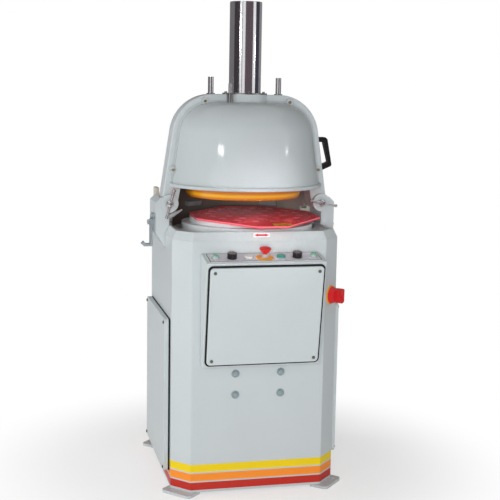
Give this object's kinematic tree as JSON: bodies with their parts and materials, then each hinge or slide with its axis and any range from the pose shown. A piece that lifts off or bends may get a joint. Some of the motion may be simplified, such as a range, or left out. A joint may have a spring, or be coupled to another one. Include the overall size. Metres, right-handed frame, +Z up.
{
  "type": "dough divider",
  "caption": "Floor-standing dough divider and rounder: column with control box, orbiting table with red moulding plate, and a domed press head that tilts back.",
  "frame": {"origin": "on the floor, in the middle of the four foot holes", "axes": "+Z up, -Y towards the operator at the control box, +X to the operator's right"},
  "size_m": [0.7032, 0.7552, 1.695],
  "materials": {
    "body_paint": "satin light grey",
    "cast_paint": "satin light grey paint on casting",
    "door_paint": "satin pale grey",
    "inner_steel": "plain grey paint",
    "chrome": "polished",
    "steel": "brushed",
    "iron": "machined casting",
    "table_metal": "turned aluminium",
    "press_metal": "turned aluminium",
    "dark_plastic": "matte black",
    "gasket_rubber": "matte black",
    "belt_rubber": "matte black",
    "ring_plastic": "glossy yellow-orange",
    "plate_plastic": "glossy red",
    "switch_red": "glossy red",
    "switch_yellow": "satin yellow",
    "button_green": "clear green lens",
    "button_white": "glossy white",
    "button_teal": "glossy teal",
    "fascia": "satin pale grey"
  },
  "bodies": {
    "base": {"base_frame": "body_paint", "column_housing": "body_paint", "left_cover": "body_paint", "right_cover": "body_paint", "cover_gaskets": "gasket_rubber", "housing_screws": "steel", "rear_cover": "body_paint", "cable_gland": "dark_plastic", "control_box": "body_paint", "control_door": "door_paint", "door_gasket": "gasket_rubber", "control_fascia": "fascia", "button_bezels": "chrome", "estop_disc": "switch_yellow", "main_switch_plate": "switch_yellow", "drive_bracket": "inner_steel", "drive_bolts": "chrome", "drive_motor": "inner_steel", "drive_belt": "belt_rubber", "bearing_housing": "iron", "shaft_bearings": "steel", "hydraulic_unit": "inner_steel", "electrical_panel": "dark_plastic", "machine_frame": "cast_paint", "rear_guard": "body_paint", "hinge_blocks": "cast_paint", "hinge_pins": "steel", "stop_finger": "steel", "lever_bracket": "steel", "plate_stops": "steel"},
    "left_start": {"start_button_left": "button_green"},
    "right_start": {"start_button_right": "button_green"},
    "reset": {"reset_button": "button_white"},
    "run": {"run_button": "button_teal"},
    "emergency_stop": {"estop_button": "switch_red"},
    "left_timer": {"timer_knob_left": "dark_plastic"},
    "right_timer": {"timer_knob_right": "dark_plastic"},
    "main_switch": {"main_switch_knob": "switch_red"},
    "left_clamp": {"clamp_screw_left": "chrome"},
    "right_clamp": {"clamp_screw_right": "chrome"},
    "lever": {"hook_lever": "steel"},
    "shaft": {"eccentric_shaft": "steel", "driven_pulley": "iron"},
    "motor_wheel": {"motor_pulley": "iron"},
    "table": {"orbit_table": "table_metal"},
    "plate": {"moulding_plate": "plate_plastic"},
    "head": {"head_arch": "cast_paint", "front_hood": "body_paint", "rear_hood": "body_paint", "hood_screws": "steel", "press_tube": "chrome", "tube_flange": "steel", "rod_sleeves": "steel", "bow_handle": "dark_plastic"},
    "ring": {"press_ring": "ring_plastic", "ring_carrier": "steel"},
    "press": {"press_plate": "press_metal", "piston_rod": "chrome", "indicator_rod": "chrome"},
    "knives": {"knife_set": "steel"}
  },
  "joints": [
    {"name": "head_tilt", "type": "hinge", "parent": "base", "child": "head", "pos_m": [0, 0.15, 0.97], "axis": [-1, 0, 0], "range_deg": [0, 50]},
    {"name": "ring_slide", "type": "slide", "parent": "head", "child": "ring", "axis": [0, 0, -1], "range_m": [0, 0.028]},
    {"name": "press_slide", "type": "slide", "parent": "head", "child": "press", "axis": [0, 0, -1], "range_m": [0, 0.056]},
    {"name": "knife_slide", "type": "slide", "parent": "press", "child": "knives", "axis": [0, 0, -1], "range_m": [0, 0.025]},
    {"name": "shaft_spin", "type": "hinge", "parent": "base", "child": "shaft", "pos_m": [0, -0.027, 0.878], "axis": [0, 0, 1], "continuous": true},
    {"name": "table_counterspin", "type": "hinge", "parent": "shaft", "child": "table", "pos_m": [0.01273, -0.03973, 0.905], "axis": [0, 0, 1], "continuous": true},
    {"name": "motor_spin", "type": "hinge", "parent": "base", "child": "motor_wheel", "pos_m": [0, -0.212, 0.6535], "axis": [0, 0, 1], "continuous": true},
    {"name": "plate_pull_out", "type": "slide", "parent": "table", "child": "plate", "axis": [0, -1, 0], "range_m": [0, 0.32]},
    {"name": "left_clamp_turn", "type": "hinge", "parent": "base", "child": "left_clamp", "pos_m": [-0.278, -0.086, 0.99], "axis": [0, 1, 0], "range_deg": [-90, 90]},
    {"name": "right_clamp_turn", "type": "hinge", "parent": "base", "child": "right_clamp", "pos_m": [0.278, -0.086, 0.99], "axis": [0, 1, 0], "range_deg": [-30, 30]},
    {"name": "lever_swing", "type": "hinge", "parent": "base", "child": "lever", "pos_m": [-0.326, -0.048, 0.922], "axis": [1, 0, 0], "range_deg": [-60, 10]},
    {"name": "left_start_press", "type": "slide", "parent": "base", "child": "left_start", "axis": [0, 0.1697, -0.9855], "range_m": [0, 0.002], "stiffness_N_per_m": 1200, "springref_m": -0.002},
    {"name": "right_start_press", "type": "slide", "parent": "base", "child": "right_start", "axis": [0, 0.1697, -0.9855], "range_m": [0, 0.002], "stiffness_N_per_m": 1200, "springref_m": -0.002},
    {"name": "reset_press", "type": "slide", "parent": "base", "child": "reset", "axis": [0, 0.1697, -0.9855], "range_m": [0, 0.002], "stiffness_N_per_m": 1200, "springref_m": -0.002},
    {"name": "run_press", "type": "slide", "parent": "base", "child": "run", "axis": [0, 0.1697, -0.9855], "range_m": [0, 0.002], "stiffness_N_per_m": 1200, "springref_m": -0.002},
    {"name": "emergency_stop_press", "type": "slide", "parent": "base", "child": "emergency_stop", "axis": [0, 0.1697, -0.9855], "range_m": [0, 0.005], "stiffness_N_per_m": 1500, "springref_m": -0.003},
    {"name": "left_timer_turn", "type": "hinge", "parent": "base", "child": "left_timer", "pos_m": [-0.112, -0.36612, 0.83447], "axis": [0, -0.1697, 0.9855], "range_deg": [-135, 135]},
    {"name": "right_timer_turn", "type": "hinge", "parent": "base", "child": "right_timer", "pos_m": [0.112, -0.36612, 0.83447], "axis": [0, -0.1697, 0.9855], "range_deg": [-135, 135]},
    {"name": "main_switch_turn", "type": "hinge", "parent": "base", "child": "main_switch", "pos_m": [0.2625, -0.273, 0.686], "axis": [0.7295, -0.6839, 0], "range_deg": [0, 90]}
  ],
  "couplings": [
    {"joint": "table_counterspin", "follows": "shaft_spin", "ratio": -1},
    {"joint": "motor_spin", "follows": "shaft_spin", "ratio": 2}
  ]
}
